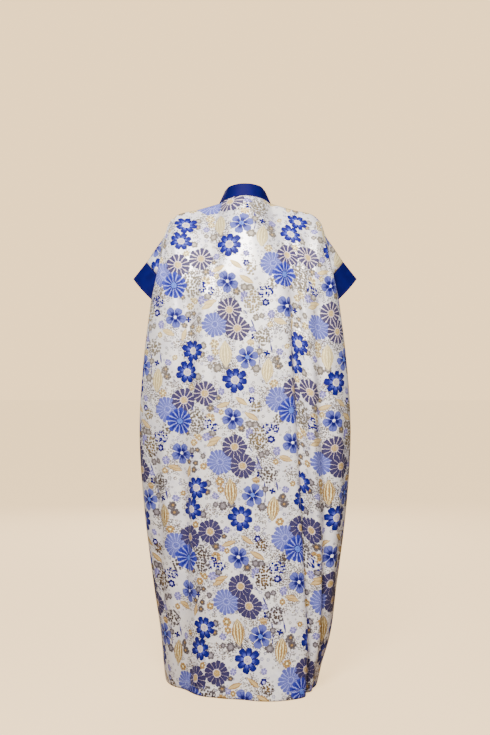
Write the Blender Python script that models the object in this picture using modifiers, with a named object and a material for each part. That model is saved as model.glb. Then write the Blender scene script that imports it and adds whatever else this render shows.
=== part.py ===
"""Grand boubou robe, as worn: two long brocade panels, each cut in one with its half of both short
sleeves, a plain band round each sleeve end and a plain band that stands at the nape and runs to a V.

The origin is where the wearer's shoulders carry the robe, midway between the side neck points.
+Z is up and the front faces -Y, so the wearer's left is +X. Lengths are metres.
"""

import bmesh
import bpy
import numpy as np

# Driving dimensions. Heights are above the hem, which just reaches the floor.
NECK_HEIGHT = 1.470
UNDERARM_HEIGHT = 1.162
CLOTH = 0.0020
BAND_CLOTH = 0.0024
SEAM_GAP = 0.0003
BAND_SETBACK = 0.0004
NECK_EDGE_SETBACK = {"back": 0.0005, "front": 0.0013}
LEAST_ACROSS = 0.35
CUFF_WIDTH = 0.069

# The robe below the underarm, one row for each height. left, right, back and front are how far the
# outline stands from the middle, and square is how boxy the ring is. seam_in is how deep the side
# seam lies between the two folds that hang beside it, and front_in is how much less the front one
# stands out.
SECTION_COLUMNS = ("height", "left", "right", "back", "front", "square", "seam_in", "front_in")
SECTIONS = (
    (0.000, 0.246, 0.222, 0.283, 0.222, 2.45, 0.000, 0.000),
    (0.060, 0.251, 0.236, 0.273, 0.219, 2.35, 0.001, 0.000),
    (0.125, 0.256, 0.256, 0.262, 0.214, 2.25, 0.003, 0.000),
    (0.300, 0.281, 0.281, 0.236, 0.200, 2.15, 0.008, 0.000),
    (0.500, 0.306, 0.307, 0.207, 0.187, 2.20, 0.016, 0.000),
    (0.770, 0.323, 0.323, 0.186, 0.175, 2.45, 0.036, 0.006),
    (0.990, 0.309, 0.309, 0.172, 0.168, 2.80, 0.078, 0.030),
    (1.162, 0.288, 0.288, 0.158, 0.162, 3.00, 0.110, 0.056),
)
SEAM_FORWARD = 0.026
SEAM_VALLEY_HALF_WIDTH = 0.055
SEAM_VALLEY_POWER = 6
HEM_SKEW = 0.20

# Hanging folds. at_hem and at_top are metres of cloth from the middle, + towards the wearer's left.
# depth_hem and depth_top push the cloth in, or out where negative, and lean slides the fold's floor
# sideways under one lip.
FOLD_COLUMNS = ("panel", "at_hem", "at_top", "width_hem", "width_top", "depth_hem", "depth_top", "lean")
FOLDS = (
    ("back", -0.205, -0.152, 0.014, 0.019, 0.034, 0.020, 0.011),
    ("back", -0.165, -0.112, 0.026, 0.030, -0.007, -0.006, 0.000),
    ("back", -0.262, -0.222, 0.022, 0.020, 0.006, 0.012, 0.000),
    ("back", 0.235, 0.160, 0.042, 0.036, 0.012, 0.011, 0.000),
    ("back", 0.150, 0.100, 0.032, 0.030, -0.006, -0.005, 0.000),
    ("back", 0.030, 0.020, 0.040, 0.034, 0.006, 0.002, 0.000),
    ("front", 0.200, 0.120, 0.022, 0.026, 0.024, 0.012, 0.000),
    ("front", 0.075, 0.050, 0.030, 0.028, 0.012, 0.006, 0.000),
    ("front", -0.060, -0.045, 0.024, 0.026, 0.018, 0.008, 0.000),
    ("front", -0.185, -0.130, 0.028, 0.026, 0.022, 0.012, 0.000),
)

# The top line of both panels on the wearer's left, from the side neck point to the cuff seam.
SIDE_NECK = (0.080, -0.005, 1.470)
SHOULDER_LINE = (
    SIDE_NECK,
    (0.152, -0.004, 1.449),
    (0.214, -0.008, 1.433),
    (0.234, -0.014, 1.416),
    (0.254, -0.030, 1.371),
    (0.281, -0.047, 1.335),
    (0.3125, -0.066, 1.292),
)
NAPE_LINE = ((0.0, 0.062, 1.486), (0.045, 0.046, 1.481), SIDE_NECK)
FRONT_NECK_LINE = (
    (0.0, -0.151, 1.290),
    (0.028, -0.132, 1.338),
    (0.060, -0.094, 1.398),
    (0.080, -0.045, 1.446),
    SIDE_NECK,
)

# The neck band, from the nape to the point of the V. share is how far forward the row lies, the
# next three are the way the band stands from its seam, and width is in metres.
NECK_BAND_TABLE = ("share", "inward", "forward", "up", "width")
NECK_BAND = (
    (0.00, 0.00, 0.25, 0.97, 0.040),
    (0.36, 0.46, 0.00, 0.88, 0.045),
    (0.70, 0.62, -0.25, 0.55, 0.050),
    (1.00, 0.00, -0.20, 1.15, 0.0625),
)

# The sleeve end is a lens that stands on the underarm. Its band goes on in this direction.
CUFF_DIRECTION = (0.63, -0.17, -0.76)
SLEEVE_HALF_OPENING = 0.036
CUFF_FOOT = 0.03

# How far the cloth stands out over the shoulder blades and the chest, and how the sleeve tucks in
# beside the fold that hangs off the shoulder. Places run from 0 in the middle to 1 at the sleeve end.
YOKE_BULGE = {"back": 0.030, "front": 0.012}
FLUTE_AT = 0.70
FLUTE_BULGE = {"back": 0.012, "front": 0.0}
FLUTE_DRAWN_IN = 0.012
TUCK_AT = 0.85
TUCK_DEPTH = {"back": 0.026, "front": 0.0}
TUCK_DRAWN_IN = 0.5
TUCK_HALF_WIDTH = 0.080
TUCK_STARTS = 0.3

# How finely each piece is divided.
PANEL_COLUMNS = {"back": 64, "front": 48}
TUBE_ROWS = 18
YOKE_ROWS = 11
NECK_BAND_COLUMNS = 64
NECK_COLUMNS = {"back": 8, "front": 10}
DENSE = 361
WIDEST_STEPS = 12


def curve_value(at, places, values):
    """A smooth value at each place, through the rows of a table."""
    places = np.asarray(places, float)
    values = np.asarray(values, float)
    slopes = np.gradient(values, places)
    at = np.clip(np.asarray(at, float), places[0], places[-1])
    index = np.clip(np.searchsorted(places, at) - 1, 0, len(places) - 2)
    span = places[index + 1] - places[index]
    t = (at - places[index]) / span
    start = (1 + 2 * t) * (1 - t) ** 2 * values[index] + t * (1 - t) ** 2 * span * slopes[index]
    end = t * t * (3 - 2 * t) * values[index + 1] - t * t * (1 - t) * span * slopes[index + 1]
    return start + end


def section_value(column, height):
    number = SECTION_COLUMNS.index(column)
    return curve_value(height, [row[0] for row in SECTIONS], [row[number] for row in SECTIONS])


def length_along(points):
    steps = np.linalg.norm(np.diff(points, axis=0), axis=1)
    return np.concatenate([[0.0], np.cumsum(steps)])


def smooth_line(points, count=DENSE):
    """A dense smooth line through a few points."""
    points = np.array(points, float)
    run = length_along(points)
    at = np.linspace(0.0, run[-1], count)
    return np.column_stack([curve_value(at, run, points[:, axis]) for axis in range(3)])


def spread(points, shares):
    """The points at these shares, from 0 to 1, of a line's length."""
    run = length_along(points)
    at = np.asarray(shares) * run[-1]
    return np.column_stack([np.interp(at, run, points[:, axis]) for axis in range(points.shape[1])])


def fold_values(fold, height):
    """A fold's place, width, depth and lean at a height."""
    values = dict(zip(FOLD_COLUMNS, fold))
    rise = height / UNDERARM_HEIGHT
    at = values["at_hem"] + (values["at_top"] - values["at_hem"]) * rise
    width = values["width_hem"] + (values["width_top"] - values["width_hem"]) * rise
    depth = values["depth_hem"] + (values["depth_top"] - values["depth_hem"]) * rise
    return at, width, depth, values["lean"]


def folded(points, panel, height):
    """Presses the hanging folds into a half ring that runs from the right seam to the left one."""
    run = length_along(points)
    place = run - run[-1] / 2
    along = np.gradient(points, axis=0)
    along /= np.linalg.norm(along, axis=1)[:, None]
    outward = np.column_stack([-along[:, 1], along[:, 0]])
    if panel == "front":
        outward = -outward
    moved = points.copy()
    for fold in FOLDS:
        if fold[0] != panel:
            continue
        at, width, depth, lean = fold_values(fold, height)
        strength = np.exp(-(((place - at) / width) ** 2))[:, None]
        moved = moved - outward * strength * depth + along * strength * lean
    return moved


def tucked_side(side, valley, reach, seam_x):
    """How far out each point of a side lies: as far as reach, and then back in to the seam."""
    widest = reach
    for _ in range(WIDEST_STEPS):
        x = side * widest - (widest - seam_x) * valley * side**SEAM_VALLEY_POWER
        widest *= reach / x.max()
    return side * widest - (widest - seam_x) * valley * side**SEAM_VALLEY_POWER


def half_ring(panel, height):
    """Half of the robe's ring at a height, from the right seam round to the left one."""
    turn = np.linspace(-np.pi / 2, np.pi / 2, DENSE)
    power = 2.0 / section_value("square", height)
    side = np.sign(np.sin(turn)) * np.abs(np.sin(turn)) ** power
    away = np.abs(np.cos(turn)) ** power
    rise = height / UNDERARM_HEIGHT
    seam_y = -SEAM_FORWARD * rise**3
    depth = section_value(panel, height)
    facing = 1.0 if panel == "back" else -1.0
    skew = HEM_SKEW * (1 - rise) if panel == "back" else 0.0
    y = seam_y + (facing * depth - seam_y) * away * (1 - skew * side)
    valley = np.exp(-(((y - seam_y) / SEAM_VALLEY_HALF_WIDTH) ** 2))
    x = np.zeros(DENSE)
    for name, hand in (("left", 1.0), ("right", -1.0)):
        here = side * hand >= 0
        seam_x = section_value(name, height) - section_value("seam_in", height)
        reach = section_value(name, height)
        if panel == "front":
            reach = reach - section_value("front_in", height)
        x[here] = hand * tucked_side(np.abs(side[here]), valley[here], reach, seam_x)
    line = folded(np.column_stack([x, y]), panel, height)
    return np.column_stack([line, np.full(DENSE, height)])


def unit(vector):
    return np.asarray(vector) / np.linalg.norm(vector)


def sleeve_end():
    """The left sleeve's end: its underarm and top, and the unit vectors out of it and across it."""
    underarm = half_ring("back", UNDERARM_HEIGHT)[-1]
    top = np.array(SHOULDER_LINE[-1])
    rise = unit(top - underarm)
    across = unit(np.cross(rise, CUFF_DIRECTION))
    across *= np.sign(across[1])
    outward = unit(np.array(CUFF_DIRECTION) - rise * np.dot(rise, CUFF_DIRECTION))
    return underarm, top, outward, across


def neck_end(panel):
    """The place on a panel's top row where its neckline meets the shoulder seam."""
    return 2 * NECK_COLUMNS[panel] / PANEL_COLUMNS[panel]


def top_row(panel, place):
    """The panel's top edge: its neckline, and on both sides the shoulder line to the cuff seam."""
    neck = smooth_line(NAPE_LINE if panel == "back" else FRONT_NECK_LINE)
    reach = np.abs(place)
    at_neck = spread(neck, np.clip(reach / neck_end(panel), 0, 1))
    at_shoulder = spread(smooth_line(SHOULDER_LINE), np.clip((reach - neck_end(panel)) / (1 - neck_end(panel)), 0, 1))
    row = np.where((reach < neck_end(panel))[:, None], at_neck, at_shoulder)
    return row * np.column_stack([np.sign(place), np.ones_like(place), np.ones_like(place)])


def yoke_bulge(panel, rise, place):
    """How far the cloth stands off a straight line from the underarm's height to the shoulder."""
    hand = np.sign(place)
    reach = np.abs(place)
    ease = reach * reach * (3 - 2 * reach)
    facing = 1.0 if panel == "back" else -1.0
    edge = sleeve_end()[3] * SLEEVE_HALF_OPENING * facing
    flute = np.exp(-(((reach - FLUTE_AT) / TUCK_HALF_WIDTH) ** 2))
    tuck = TUCK_DEPTH[panel] * np.exp(-(((reach - TUCK_AT) / TUCK_HALF_WIDTH) ** 2))
    tuck = tuck * np.clip((rise - TUCK_STARTS) / TUCK_STARTS, 0, 1)
    tuck = tuck * np.clip((1 - reach) / TUCK_HALF_WIDTH, 0, 1)
    x = hand * (ease * edge[0] - TUCK_DRAWN_IN * tuck - FLUTE_DRAWN_IN * flute)
    y = (1 - ease) * YOKE_BULGE[panel] * facing + ease * edge[1]
    y = y + facing * (FLUTE_BULGE[panel] * flute - tuck)
    return 4 * rise * (1 - rise) * np.column_stack([x, y, ease * edge[2]])


def panel_row(panel, level, place):
    """A row of the panel. Level runs 0 at the hem, 1 at the underarm and 2 at the top edge."""
    shares = (np.asarray(place) + 1) / 2
    if level <= 1:
        return spread(half_ring(panel, level * UNDERARM_HEIGHT), shares)
    rise = level - 1
    low = spread(half_ring(panel, UNDERARM_HEIGHT), shares)
    high = top_row(panel, place)
    return low * (1 - rise) + high * rise + yoke_bulge(panel, rise, place)


def set_back(edge, inner, seam_normal):
    """Moves a seam's points into their own panel, until the wall's corner clears the seam's plane."""
    into = inner - edge
    into /= np.linalg.norm(into, axis=1)[:, None]
    across = np.clip(np.abs((into * seam_normal).sum(axis=1)), LEAST_ACROSS, 1.0)
    corner = np.sqrt(1 - across**2) * CLOTH / 2
    return edge + into * ((corner + SEAM_GAP / 2) / across)[:, None]


def panel_grid(panel):
    """Every point of a panel, by row from the hem up and by column from right to left."""
    place = np.linspace(-1, 1, PANEL_COLUMNS[panel] + 1)
    tube = np.linspace(0, 1, TUBE_ROWS + 1)
    yoke = np.linspace(1, 2, YOKE_ROWS + 1)[1:]
    grid = np.array([panel_row(panel, level, place) for level in [*tube, *yoke]])
    trimmed = grid.copy()
    side_seam = np.tile((0.0, 1.0, 0.0), (TUBE_ROWS + 1, 1))
    for column, inner, hand in ((0, 1, -1.0), (-1, -2, 1.0)):
        cuff_seam = np.tile(sleeve_end()[2] * (hand, 1, 1), (YOKE_ROWS, 1))
        normals = np.vstack([side_seam, cuff_seam])
        trimmed[:, column] = set_back(grid[:, column], grid[:, inner], normals)
    below = 2 - 1 / YOKE_ROWS
    facing = panel_row("back", below, place) - panel_row("front", below, place)
    facing /= np.linalg.norm(facing, axis=1)[:, None]
    shoulder = np.abs(place) > neck_end(panel) - 0.5 / PANEL_COLUMNS[panel]
    trimmed[-1, shoulder] = set_back(trimmed[-1], trimmed[-2], facing)[shoulder]
    down = trimmed[-2] - trimmed[-1]
    down /= np.linalg.norm(down, axis=1)[:, None]
    trimmed[-1, ~shoulder] += (down * NECK_EDGE_SETBACK[panel])[~shoulder]
    return trimmed


def material(name, colour, roughness):
    made = bpy.data.materials.new(name)
    made.use_nodes = True
    surface = made.node_tree.nodes["Principled BSDF"]
    surface.inputs["Base Color"].default_value = (*colour, 1.0)
    surface.inputs["Roughness"].default_value = roughness
    return made


def cloth_piece(name, grid, thickness, finish, collection, closed=False):
    """A piece of cloth: a grid laid on the given points, thickened to a wall."""
    rows, columns = grid.shape[:2]
    shape = bmesh.new()
    bmesh.ops.create_grid(shape, x_segments=columns - 1, y_segments=rows - 1, size=0.5)
    for point in shape.verts:
        column = round((point.co.x + 0.5) * (columns - 1))
        row = round((point.co.y + 0.5) * (rows - 1))
        point.co = grid[row, column] - (0, 0, NECK_HEIGHT)
    if closed:
        bmesh.ops.remove_doubles(shape, verts=shape.verts, dist=0.00005)
    mesh = bpy.data.meshes.new(name)
    shape.to_mesh(mesh)
    shape.free()
    mesh.shade_smooth()
    mesh.materials.append(finish)
    piece = bpy.data.objects.new(name, mesh)
    collection.objects.link(piece)
    wall = piece.modifiers.new("wall", "SOLIDIFY")
    wall.thickness = thickness
    wall.offset = 0.0
    return piece


def cuff_grid(hand):
    """The rings of a cuff band, from its seam with the sleeve to its open end."""
    underarm, top, _, across = sleeve_end()
    share = np.linspace(CUFF_FOOT, 1, YOKE_ROWS + 1)[:, None]
    middle = underarm + (top - underarm) * share
    opening = across * SLEEVE_HALF_OPENING * 4 * (share - CUFF_FOOT) * (1 - share)
    loop = np.vstack([middle + opening, (middle - opening)[-2::-1]])
    direction = unit(CUFF_DIRECTION)
    rings = [loop + direction * along for along in (BAND_SETBACK, CUFF_WIDTH / 2, CUFF_WIDTH)]
    return np.array(rings) * (hand, 1, 1)


def neck_band_grid():
    """The rings of the neck band, from its seam with the panels to its free edge."""
    back = smooth_line(NAPE_LINE)
    front = smooth_line(FRONT_NECK_LINE)
    left = np.vstack([back, front[-2::-1]])
    loop = np.vstack([left, left[-2::-1] * (-1, 1, 1)])
    loop = spread(loop, np.linspace(0, 1, NECK_BAND_COLUMNS + 1))
    share = (loop[:, 1] - NAPE_LINE[0][1]) / (FRONT_NECK_LINE[0][1] - NAPE_LINE[0][1])
    named = dict(zip(NECK_BAND_TABLE, zip(*NECK_BAND)))
    inward, forward, up, width = (
        curve_value(share, named["share"], named[column]) for column in NECK_BAND_TABLE[1:]
    )
    direction = np.column_stack([-inward * np.sign(loop[:, 0]), -forward, up])
    rings = [loop + direction * (BAND_SETBACK + (width - BAND_SETBACK) * s)[:, None] for s in (0, 0.5, 1)]
    return np.array(rings)


def build():
    for old in list(bpy.data.objects):
        bpy.data.objects.remove(old)
    robe = bpy.data.collections.new("grand boubou robe")
    bpy.context.scene.collection.children.link(robe)
    brocade = material("white and blue brocade", (0.72, 0.72, 0.76), 0.42)
    royal = material("royal blue satin", (0.006, 0.035, 0.24), 0.50)
    cloth_piece("back_panel", panel_grid("back"), CLOTH, brocade, robe)
    cloth_piece("front_panel", panel_grid("front"), CLOTH, brocade, robe)
    cloth_piece("neck_band", neck_band_grid(), BAND_CLOTH, royal, robe, closed=True)
    cloth_piece("cuff_band_left", cuff_grid(1.0), BAND_CLOTH, royal, robe, closed=True)
    cloth_piece("cuff_band_right", cuff_grid(-1.0), BAND_CLOTH, royal, robe, closed=True)


build()
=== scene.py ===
"""Looks of the grand boubou robe: two long brocade panels and plain royal satin bands.

Everything is in metres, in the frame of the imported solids: +Z is up, the robe's front faces -Y, and
the wearer's left is +X.
"""

import math

import bpy
import numpy as np
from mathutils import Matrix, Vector


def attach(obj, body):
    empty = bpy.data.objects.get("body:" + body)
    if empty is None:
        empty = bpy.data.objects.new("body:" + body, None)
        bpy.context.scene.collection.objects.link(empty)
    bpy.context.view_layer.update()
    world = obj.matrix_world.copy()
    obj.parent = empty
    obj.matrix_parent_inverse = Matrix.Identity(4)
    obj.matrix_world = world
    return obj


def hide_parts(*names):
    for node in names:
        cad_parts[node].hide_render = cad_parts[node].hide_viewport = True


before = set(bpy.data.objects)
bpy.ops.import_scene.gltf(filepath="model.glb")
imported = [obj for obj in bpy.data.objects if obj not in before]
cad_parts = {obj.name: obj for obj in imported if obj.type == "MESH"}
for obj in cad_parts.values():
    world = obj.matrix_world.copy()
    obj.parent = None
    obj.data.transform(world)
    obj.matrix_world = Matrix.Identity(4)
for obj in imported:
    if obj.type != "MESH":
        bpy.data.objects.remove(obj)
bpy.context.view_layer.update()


# Camera, floor and light. The robe is seen level from behind, standing on a plain pale floor, in
# soft light that comes mostly from above and a little from the picture's left. The floor's glow and
# the bright backdrop are only what the camera sees, and light nothing.

NECK_HEIGHT = 1.470
HEM_Z = -NECK_HEIGHT
CAMERA_PLACE = (0.0, 3.57, -0.512)
CAMERA_SENSOR = 36.0
CAMERA_LENS = 56.0
FLOOR_REACH = 30
FLOOR_COLOUR = (0.24, 0.18, 0.12, 1.0)
FLOOR_GLOW_COLOUR = (0.80, 0.55, 0.28, 1.0)
FLOOR_GLOW = 2.62

camera = bpy.data.objects.new("camera", bpy.data.cameras.new("camera"))
camera.location = CAMERA_PLACE
camera.rotation_euler = (math.radians(90), 0.0, math.radians(180))
camera.data.sensor_width = CAMERA_SENSOR
camera.data.lens = CAMERA_LENS
bpy.context.collection.objects.link(camera)
bpy.context.scene.camera = camera

floor_mesh = bpy.data.meshes.new("floor")
floor_sides = ((-1, -1), (1, -1), (1, 1), (-1, 1))
floor_corners = [(x * FLOOR_REACH, y * FLOOR_REACH, HEM_Z) for x, y in floor_sides]
floor_mesh.from_pydata(floor_corners, [], [(0, 1, 2, 3)])
floor_paper = bpy.data.materials.new("pale floor")
floor_paper.use_nodes = True
floor_shader = floor_paper.node_tree.nodes["Principled BSDF"]
floor_shader.inputs["Base Color"].default_value = FLOOR_COLOUR
floor_shader.inputs["Roughness"].default_value = 0.9
floor_shader.inputs["Specular IOR Level"].default_value = 0.1
floor_shader.inputs["Emission Color"].default_value = FLOOR_GLOW_COLOUR
floor_ray = floor_paper.node_tree.nodes.new("ShaderNodeLightPath")
floor_glow = floor_paper.node_tree.nodes.new("ShaderNodeMath")
floor_glow.operation = "MULTIPLY"
floor_glow.inputs[1].default_value = FLOOR_GLOW
floor_paper.node_tree.links.new(floor_ray.outputs["Is Camera Ray"], floor_glow.inputs[0])
floor_paper.node_tree.links.new(floor_glow.outputs[0], floor_shader.inputs["Emission Strength"])
floor_mesh.materials.append(floor_paper)
floor = bpy.data.objects.new("floor", floor_mesh)
bpy.context.collection.objects.link(floor)

BACKDROP = (2.30, 1.58, 0.80, 1.0)
ROOM_LIGHT = (0.125, 0.125, 0.160, 1.0)
studio = bpy.data.worlds.new("studio")
studio.use_nodes = True
studio_nodes = studio.node_tree.nodes
seen_or_lighting = studio_nodes.new("ShaderNodeMix")
seen_or_lighting.data_type = "RGBA"
seen_or_lighting.inputs[6].default_value = ROOM_LIGHT
seen_or_lighting.inputs[7].default_value = BACKDROP
ray_kind = studio_nodes.new("ShaderNodeLightPath")
studio.node_tree.links.new(ray_kind.outputs["Is Camera Ray"], seen_or_lighting.inputs[0])
studio.node_tree.links.new(seen_or_lighting.outputs[2], studio_nodes["Background"].inputs["Color"])
bpy.context.scene.world = studio

# Each light's name, place, width in metres and power in watts.
STUDIO_LIGHTS = (
    ("high key", (0.35, 2.25, 1.65), 1.0, 330.0),
    ("low right", (-2.6, 2.8, 0.1), 2.0, 22.0),
    ("front", (0.3, -3.6, 0.8), 3.0, 220.0),
)
WARM = (1.0, 0.965, 0.90)
AIM = Vector((0.0, 0.0, -0.6))
for light_name, place, size, power in STUDIO_LIGHTS:
    lamp = bpy.data.lights.new(light_name, "AREA")
    lamp.shape = "DISK"
    lamp.size = size
    lamp.energy = power
    lamp.color = WARM
    light = bpy.data.objects.new(light_name, lamp)
    light.location = place
    light.rotation_euler = (AIM - light.location).to_track_quat("-Z", "Y").to_euler()
    bpy.context.collection.objects.link(light)


# The back panel: one length of white brocade, cut in one with the back half of both short sleeves.
# It is sewn to the front panel along the shoulders and down both sides, and hangs to the floor.

FACING = {"back": 1.0, "front": -1.0}
UNDERARM_HEIGHT = 1.162
CLOTH = 0.0012
SEAM_GAP = 0.0002
SECTION_COLUMNS = ("height", "left", "right", "back", "front", "square", "seam_in", "front_in")
SECTIONS = (
    (0.000, 0.246, 0.222, 0.283, 0.222, 2.45, 0.000, 0.000),
    (0.060, 0.251, 0.236, 0.273, 0.219, 2.35, 0.001, 0.000),
    (0.125, 0.256, 0.256, 0.262, 0.214, 2.25, 0.003, 0.000),
    (0.300, 0.281, 0.281, 0.236, 0.200, 2.15, 0.008, 0.000),
    (0.500, 0.306, 0.307, 0.207, 0.187, 2.20, 0.016, 0.000),
    (0.770, 0.323, 0.323, 0.186, 0.175, 2.45, 0.036, 0.006),
    (0.990, 0.309, 0.309, 0.172, 0.168, 2.80, 0.078, 0.030),
    (UNDERARM_HEIGHT, 0.288, 0.288, 0.158, 0.162, 3.00, 0.110, 0.056),
)
SEAM_FORWARD = 0.026
SEAM_VALLEY_HALF_WIDTH = 0.055
SEAM_VALLEY_POWER = 6
HEM_SKEW = 0.20
FOLD_COLUMNS = (
    ("panel", "at_hem", "at_top", "width_hem", "width_top") + ("depth_hem", "depth_top", "lean")
)
FOLDS = (
    ("back", -0.205, -0.152, 0.014, 0.019, 0.034, 0.020, 0.011),
    ("back", -0.165, -0.112, 0.026, 0.030, -0.007, -0.006, 0.000),
    ("back", -0.262, -0.222, 0.022, 0.020, 0.006, 0.012, 0.000),
    ("back", 0.235, 0.160, 0.042, 0.036, 0.012, 0.011, 0.000),
    ("back", 0.150, 0.100, 0.032, 0.030, -0.006, -0.005, 0.000),
    ("back", 0.030, 0.020, 0.040, 0.034, 0.006, 0.002, 0.000),
    ("front", 0.200, 0.120, 0.022, 0.026, 0.024, 0.012, 0.000),
    ("front", 0.075, 0.050, 0.030, 0.028, 0.012, 0.006, 0.000),
    ("front", -0.060, -0.045, 0.024, 0.026, 0.018, 0.008, 0.000),
    ("front", -0.185, -0.130, 0.028, 0.026, 0.022, 0.012, 0.000),
)
SIDE_NECK = (0.080, -0.005, NECK_HEIGHT)
SHOULDER_LINE = (
    SIDE_NECK,
    (0.152, -0.004, 1.449),
    (0.214, -0.008, 1.433),
    (0.234, -0.014, 1.416),
    (0.254, -0.030, 1.371),
    (0.281, -0.047, 1.335),
    (0.3125, -0.066, 1.292),
)
NAPE_LINE = ((0.0, 0.0612, 1.486), (0.014, 0.0600, 1.4856), (0.045, 0.046, 1.481), SIDE_NECK)
FRONT_NECK_LINE = (
    (0.0, -0.151, 1.290),
    (0.028, -0.132, 1.338),
    (0.060, -0.094, 1.398),
    (0.080, -0.045, 1.446),
    SIDE_NECK,
)
CUFF_DIRECTION = (0.63, -0.17, -0.76)
SLEEVE_HALF_OPENING = 0.036
YOKE_BULGE = {"back": 0.030, "front": 0.012}
FLUTE_AT = 0.70
FLUTE_BULGE = {"back": 0.012, "front": 0.0}
FLUTE_DRAWN_IN = 0.012
TUCK_AT = 0.85
TUCK_DEPTH = {"back": 0.026, "front": 0.0}
TUCK_DRAWN_IN = 0.5
TUCK_HALF_WIDTH = 0.080
TUCK_STARTS = 0.3
PANEL_STEPS = {"back": 148, "front": 134}
NECK_SHARE = {"back": 0.25, "front": 0.4167}
TUBE_ROWS = 192
YOKE_ROWS = 58
DENSE = 721
WIDEST_STEPS = 12
SEAM_ALLOWANCE = 0.005
UNDERARM_EASE = 9
HEM_ROWS = 3
HEM_TURN = 0.0016
SLEEVE_ALLOWANCE_SHARE = 0.4
NECK_ALLOWANCE_SHARE = 0.4
NECK_LOWERED = 0.0006
SHORTEST_NORMAL = 1e-12


def curve_value(at, places, values):
    """A smooth value at each place, through the rows of a table."""
    places = np.asarray(places, float)
    values = np.asarray(values, float)
    slopes = np.gradient(values, places)
    at = np.clip(np.asarray(at, float), places[0], places[-1])
    index = np.clip(np.searchsorted(places, at) - 1, 0, len(places) - 2)
    span = places[index + 1] - places[index]
    t = (at - places[index]) / span
    start = (1 + 2 * t) * (1 - t) ** 2 * values[index] + t * (1 - t) ** 2 * span * slopes[index]
    end = t * t * (3 - 2 * t) * values[index + 1] - t * t * (1 - t) * span * slopes[index + 1]
    return start + end


def section_value(column, height):
    number = SECTION_COLUMNS.index(column)
    return curve_value(height, [row[0] for row in SECTIONS], [row[number] for row in SECTIONS])


def length_along(points):
    steps = np.linalg.norm(np.diff(points, axis=0), axis=1)
    return np.concatenate([[0.0], np.cumsum(steps)])


def smooth_line(points, count=DENSE):
    """A dense smooth line through a few points."""
    points = np.array(points, float)
    run = length_along(points)
    at = np.linspace(0.0, run[-1], count)
    return np.column_stack([curve_value(at, run, points[:, axis]) for axis in range(3)])


def spread(points, shares):
    """The points at these shares, from 0 to 1, of a line's length."""
    run = length_along(points)
    at = np.asarray(shares) * run[-1]
    return np.column_stack([np.interp(at, run, points[:, axis]) for axis in range(points.shape[1])])


def folded(points, panel, height):
    """Presses the hanging folds into a half ring that runs from the right seam to the left one."""
    run = length_along(points)
    place = run - run[-1] / 2
    along = np.gradient(points, axis=0)
    along /= np.linalg.norm(along, axis=1)[:, None]
    outward = np.column_stack([-along[:, 1], along[:, 0]])
    outward *= FACING[panel]
    moved = points.copy()
    rise = height / UNDERARM_HEIGHT
    for fold in FOLDS:
        if fold[0] != panel:
            continue
        values = dict(zip(FOLD_COLUMNS, fold))
        at, width, depth = (
            values[size + "_hem"] + (values[size + "_top"] - values[size + "_hem"]) * rise
            for size in ("at", "width", "depth")
        )
        strength = np.exp(-(((place - at) / width) ** 2))[:, None]
        moved = moved - outward * strength * depth + along * strength * values["lean"]
    return moved


def tucked_side(side, valley, reach, seam_x):
    """How far out each point of a side lies: as far as reach, and then back in to the seam."""
    widest = reach
    for _ in range(WIDEST_STEPS):
        x = side * widest - (widest - seam_x) * valley * side**SEAM_VALLEY_POWER
        widest *= reach / x.max()
    return side * widest - (widest - seam_x) * valley * side**SEAM_VALLEY_POWER


def half_ring(panel, height):
    """Half of the robe's ring at a height, from the right seam round to the left one."""
    turn = np.linspace(-np.pi / 2, np.pi / 2, DENSE)
    power = 2.0 / section_value("square", height)
    side = np.sign(np.sin(turn)) * np.abs(np.sin(turn)) ** power
    away = np.abs(np.cos(turn)) ** power
    rise = height / UNDERARM_HEIGHT
    seam_y = -SEAM_FORWARD * rise**3
    depth = section_value(panel, height)
    facing = FACING[panel]
    skew = HEM_SKEW * (1 - rise) if panel == "back" else 0.0
    y = seam_y + (facing * depth - seam_y) * away * (1 - skew * side)
    valley = np.exp(-(((y - seam_y) / SEAM_VALLEY_HALF_WIDTH) ** 2))
    x = np.zeros(DENSE)
    for name, hand in (("left", 1.0), ("right", -1.0)):
        here = side * hand >= 0
        seam_x = section_value(name, height) - section_value("seam_in", height)
        reach = section_value(name, height)
        if panel == "front":
            reach = reach - section_value("front_in", height)
        x[here] = hand * tucked_side(np.abs(side[here]), valley[here], reach, seam_x)
    line = folded(np.column_stack([x, y]), panel, height)
    return np.column_stack([line, np.full(DENSE, height)])


def unit(vector):
    return np.asarray(vector) / np.linalg.norm(vector)


def sleeve_end():
    """The left sleeve's end: its underarm and top, and the unit vectors out of it and across it."""
    underarm = half_ring("back", UNDERARM_HEIGHT)[-1]
    top = np.array(SHOULDER_LINE[-1])
    rise = unit(top - underarm)
    across = unit(np.cross(rise, CUFF_DIRECTION))
    across *= np.sign(across[1])
    outward = unit(np.array(CUFF_DIRECTION) - rise * np.dot(rise, CUFF_DIRECTION))
    return underarm, top, outward, across


SLEEVE_END = sleeve_end()


def top_row(panel, place):
    """The panel's top edge: its neckline, and on both sides the shoulder line to the cuff seam."""
    neck = smooth_line(NAPE_LINE if panel == "back" else FRONT_NECK_LINE)
    reach = np.abs(place)
    end = NECK_SHARE[panel]
    at_neck = spread(neck, np.clip(reach / end, 0, 1))
    at_shoulder = spread(smooth_line(SHOULDER_LINE), np.clip((reach - end) / (1 - end), 0, 1))
    row = np.where((reach < end)[:, None], at_neck, at_shoulder)
    return row * np.column_stack([np.sign(place), np.ones_like(place), np.ones_like(place)])


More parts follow.
